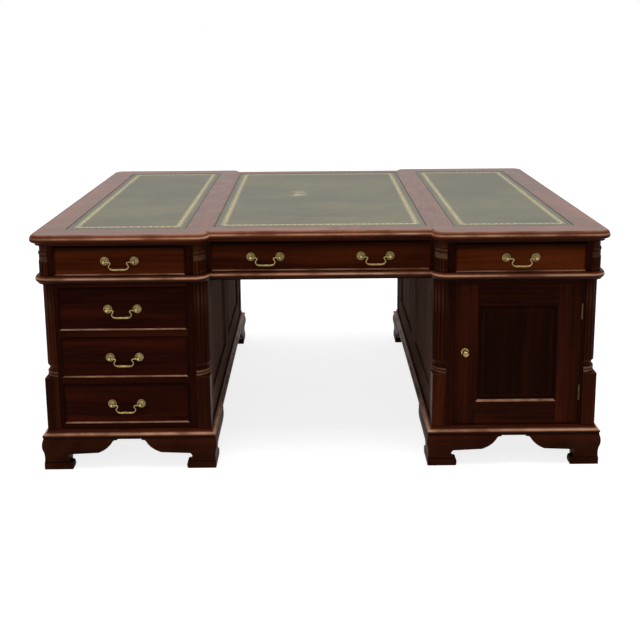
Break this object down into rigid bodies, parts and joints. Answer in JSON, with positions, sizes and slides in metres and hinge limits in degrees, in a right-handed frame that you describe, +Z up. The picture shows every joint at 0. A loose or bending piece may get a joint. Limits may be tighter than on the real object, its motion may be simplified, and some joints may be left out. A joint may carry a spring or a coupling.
{
  "type": "partners desk",
  "caption": "Mahogany partners desk with a leather-lined moulded top, frieze drawers, drawer and cupboard pedestals on both faces, fluted corner columns and bracket feet.",
  "frame": {"origin": "on the floor, under the middle of the desk", "axes": "+X along the desk to the right seen from the front, +Y from the front face to the rear face, +Z up"},
  "size_m": [1.83, 1.22, 0.785],
  "materials": {
    "mahogany": "polished",
    "leather": "satin",
    "brass": "antique"
  },
  "bodies": {
    "carcase": {"desk_top": "mahogany", "leather_insets": "leather", "frieze_frame": "mahogany", "frieze_partitions": "mahogany", "frieze_columns": "mahogany", "waist_moulding": "mahogany", "left_pedestal_case": "mahogany", "right_pedestal_case": "mahogany", "pedestal_posts": "mahogany", "pedestal_side_panels": "mahogany", "base_mouldings": "mahogany", "bracket_feet": "mahogany", "cupboard_shelves": "mahogany", "hinge_fixed_leaves": "brass"},
    "front_left_frieze_drawer": {"front_left_frieze_drawer": "mahogany", "front_left_frieze_drawer_roses": "brass"},
    "front_left_frieze_drawer_bail": {"front_left_frieze_drawer_bail": "brass"},
    "front_centre_frieze_drawer": {"front_centre_frieze_drawer": "mahogany", "front_centre_frieze_drawer_roses": "brass"},
    "front_centre_frieze_drawer_left_bail": {"front_centre_frieze_drawer_left_bail": "brass"},
    "front_centre_frieze_drawer_right_bail": {"front_centre_frieze_drawer_right_bail": "brass"},
    "front_right_frieze_drawer": {"front_right_frieze_drawer": "mahogany", "front_right_frieze_drawer_roses": "brass"},
    "front_right_frieze_drawer_bail": {"front_right_frieze_drawer_bail": "brass"},
    "front_upper_drawer": {"front_upper_drawer": "mahogany", "front_upper_drawer_roses": "brass"},
    "front_upper_drawer_bail": {"front_upper_drawer_bail": "brass"},
    "front_middle_drawer": {"front_middle_drawer": "mahogany", "front_middle_drawer_roses": "brass"},
    "front_middle_drawer_bail": {"front_middle_drawer_bail": "brass"},
    "front_lower_drawer": {"front_lower_drawer": "mahogany", "front_lower_drawer_roses": "brass"},
    "front_lower_drawer_bail": {"front_lower_drawer_bail": "brass"},
    "front_door": {"front_door_frame": "mahogany", "front_door_panel": "mahogany", "front_door_knob": "brass", "front_door_hinge_leaves": "brass"},
    "rear_left_frieze_drawer": {"rear_left_frieze_drawer": "mahogany", "rear_left_frieze_drawer_roses": "brass"},
    "rear_left_frieze_drawer_bail": {"rear_left_frieze_drawer_bail": "brass"},
    "rear_centre_frieze_drawer": {"rear_centre_frieze_drawer": "mahogany", "rear_centre_frieze_drawer_roses": "brass"},
    "rear_centre_frieze_drawer_left_bail": {"rear_centre_frieze_drawer_left_bail": "brass"},
    "rear_centre_frieze_drawer_right_bail": {"rear_centre_frieze_drawer_right_bail": "brass"},
    "rear_right_frieze_drawer": {"rear_right_frieze_drawer": "mahogany", "rear_right_frieze_drawer_roses": "brass"},
    "rear_right_frieze_drawer_bail": {"rear_right_frieze_drawer_bail": "brass"},
    "rear_upper_drawer": {"rear_upper_drawer": "mahogany", "rear_upper_drawer_roses": "brass"},
    "rear_upper_drawer_bail": {"rear_upper_drawer_bail": "brass"},
    "rear_middle_drawer": {"rear_middle_drawer": "mahogany", "rear_middle_drawer_roses": "brass"},
    "rear_middle_drawer_bail": {"rear_middle_drawer_bail": "brass"},
    "rear_lower_drawer": {"rear_lower_drawer": "mahogany", "rear_lower_drawer_roses": "brass"},
    "rear_lower_drawer_bail": {"rear_lower_drawer_bail": "brass"},
    "rear_door": {"rear_door_frame": "mahogany", "rear_door_panel": "mahogany", "rear_door_knob": "brass", "rear_door_hinge_leaves": "brass"}
  },
  "joints": [
    {"name": "front_left_frieze_drawer_slide", "type": "slide", "parent": "carcase", "child": "front_left_frieze_drawer", "axis": [0, -1, 0], "range_m": [0, 0.4]},
    {"name": "front_left_frieze_drawer_bail_swing", "type": "hinge", "parent": "front_left_frieze_drawer", "child": "front_left_frieze_drawer_bail", "pos_m": [-0.6335, -0.595, 0.6955], "axis": [-1, 0, 0], "range_deg": [-20, 90]},
    {"name": "front_centre_frieze_drawer_slide", "type": "slide", "parent": "carcase", "child": "front_centre_frieze_drawer", "axis": [0, -1, 0], "range_m": [0, 0.4]},
    {"name": "front_centre_frieze_drawer_left_bail_swing", "type": "hinge", "parent": "front_centre_frieze_drawer", "child": "front_centre_frieze_drawer_left_bail", "pos_m": [-0.176, -0.558, 0.6955], "axis": [-1, 0, 0], "range_deg": [-20, 90]},
    {"name": "front_centre_frieze_drawer_right_bail_swing", "type": "hinge", "parent": "front_centre_frieze_drawer", "child": "front_centre_frieze_drawer_right_bail", "pos_m": [0.176, -0.558, 0.6955], "axis": [-1, 0, 0], "range_deg": [-20, 90]},
    {"name": "front_right_frieze_drawer_slide", "type": "slide", "parent": "carcase", "child": "front_right_frieze_drawer", "axis": [0, -1, 0], "range_m": [0, 0.4]},
    {"name": "front_right_frieze_drawer_bail_swing", "type": "hinge", "parent": "front_right_frieze_drawer", "child": "front_right_frieze_drawer_bail", "pos_m": [0.6335, -0.595, 0.6955], "axis": [-1, 0, 0], "range_deg": [-20, 90]},
    {"name": "front_upper_drawer_slide", "type": "slide", "parent": "carcase", "child": "front_upper_drawer", "axis": [0, -1, 0], "range_m": [0, 0.4]},
    {"name": "front_upper_drawer_bail_swing", "type": "hinge", "parent": "front_upper_drawer", "child": "front_upper_drawer_bail", "pos_m": [-0.631, -0.595, 0.538], "axis": [-1, 0, 0], "range_deg": [-20, 90]},
    {"name": "front_middle_drawer_slide", "type": "slide", "parent": "carcase", "child": "front_middle_drawer", "axis": [0, -1, 0], "range_m": [0, 0.4]},
    {"name": "front_middle_drawer_bail_swing", "type": "hinge", "parent": "front_middle_drawer", "child": "front_middle_drawer_bail", "pos_m": [-0.631, -0.595, 0.3765], "axis": [-1, 0, 0], "range_deg": [-20, 90]},
    {"name": "front_lower_drawer_slide", "type": "slide", "parent": "carcase", "child": "front_lower_drawer", "axis": [0, -1, 0], "range_m": [0, 0.4]},
    {"name": "front_lower_drawer_bail_swing", "type": "hinge", "parent": "front_lower_drawer", "child": "front_lower_drawer_bail", "pos_m": [-0.631, -0.595, 0.2185], "axis": [-1, 0, 0], "range_deg": [-20, 90]},
    {"name": "front_door_swing", "type": "hinge", "parent": "carcase", "child": "front_door", "pos_m": [0.83425, -0.5805, 0.3805], "axis": [0, 0, 1], "range_deg": [0, 105]},
    {"name": "rear_left_frieze_drawer_slide", "type": "slide", "parent": "carcase", "child": "rear_left_frieze_drawer", "axis": [0, 1, 0], "range_m": [0, 0.4]},
    {"name": "rear_left_frieze_drawer_bail_swing", "type": "hinge", "parent": "rear_left_frieze_drawer", "child": "rear_left_frieze_drawer_bail", "pos_m": [0.6335, 0.595, 0.6955], "axis": [1, 0, 0], "range_deg": [-20, 90]},
    {"name": "rear_centre_frieze_drawer_slide", "type": "slide", "parent": "carcase", "child": "rear_centre_frieze_drawer", "axis": [0, 1, 0], "range_m": [0, 0.4]},
    {"name": "rear_centre_frieze_drawer_left_bail_swing", "type": "hinge", "parent": "rear_centre_frieze_drawer", "child": "rear_centre_frieze_drawer_left_bail", "pos_m": [0.176, 0.558, 0.6955], "axis": [1, 0, 0], "range_deg": [-20, 90]},
    {"name": "rear_centre_frieze_drawer_right_bail_swing", "type": "hinge", "parent": "rear_centre_frieze_drawer", "child": "rear_centre_frieze_drawer_right_bail", "pos_m": [-0.176, 0.558, 0.6955], "axis": [1, 0, 0], "range_deg": [-20, 90]},
    {"name": "rear_right_frieze_drawer_slide", "type": "slide", "parent": "carcase", "child": "rear_right_frieze_drawer", "axis": [0, 1, 0], "range_m": [0, 0.4]},
    {"name": "rear_right_frieze_drawer_bail_swing", "type": "hinge", "parent": "rear_right_frieze_drawer", "child": "rear_right_frieze_drawer_bail", "pos_m": [-0.6335, 0.595, 0.6955], "axis": [1, 0, 0], "range_deg": [-20, 90]},
    {"name": "rear_upper_drawer_slide", "type": "slide", "parent": "carcase", "child": "rear_upper_drawer", "axis": [0, 1, 0], "range_m": [0, 0.4]},
    {"name": "rear_upper_drawer_bail_swing", "type": "hinge", "parent": "rear_upper_drawer", "child": "rear_upper_drawer_bail", "pos_m": [0.631, 0.595, 0.538], "axis": [1, 0, 0], "range_deg": [-20, 90]},
    {"name": "rear_middle_drawer_slide", "type": "slide", "parent": "carcase", "child": "rear_middle_drawer", "axis": [0, 1, 0], "range_m": [0, 0.4]},
    {"name": "rear_middle_drawer_bail_swing", "type": "hinge", "parent": "rear_middle_drawer", "child": "rear_middle_drawer_bail", "pos_m": [0.631, 0.595, 0.3765], "axis": [1, 0, 0], "range_deg": [-20, 90]},
    {"name": "rear_lower_drawer_slide", "type": "slide", "parent": "carcase", "child": "rear_lower_drawer", "axis": [0, 1, 0], "range_m": [0, 0.4]},
    {"name": "rear_lower_drawer_bail_swing", "type": "hinge", "parent": "rear_lower_drawer", "child": "rear_lower_drawer_bail", "pos_m": [0.631, 0.595, 0.2185], "axis": [1, 0, 0], "range_deg": [-20, 90]},
    {"name": "rear_door_swing", "type": "hinge", "parent": "carcase", "child": "rear_door", "pos_m": [-0.83425, 0.5805, 0.3805], "axis": [0, 0, 1], "range_deg": [0, 105]}
  ]
}
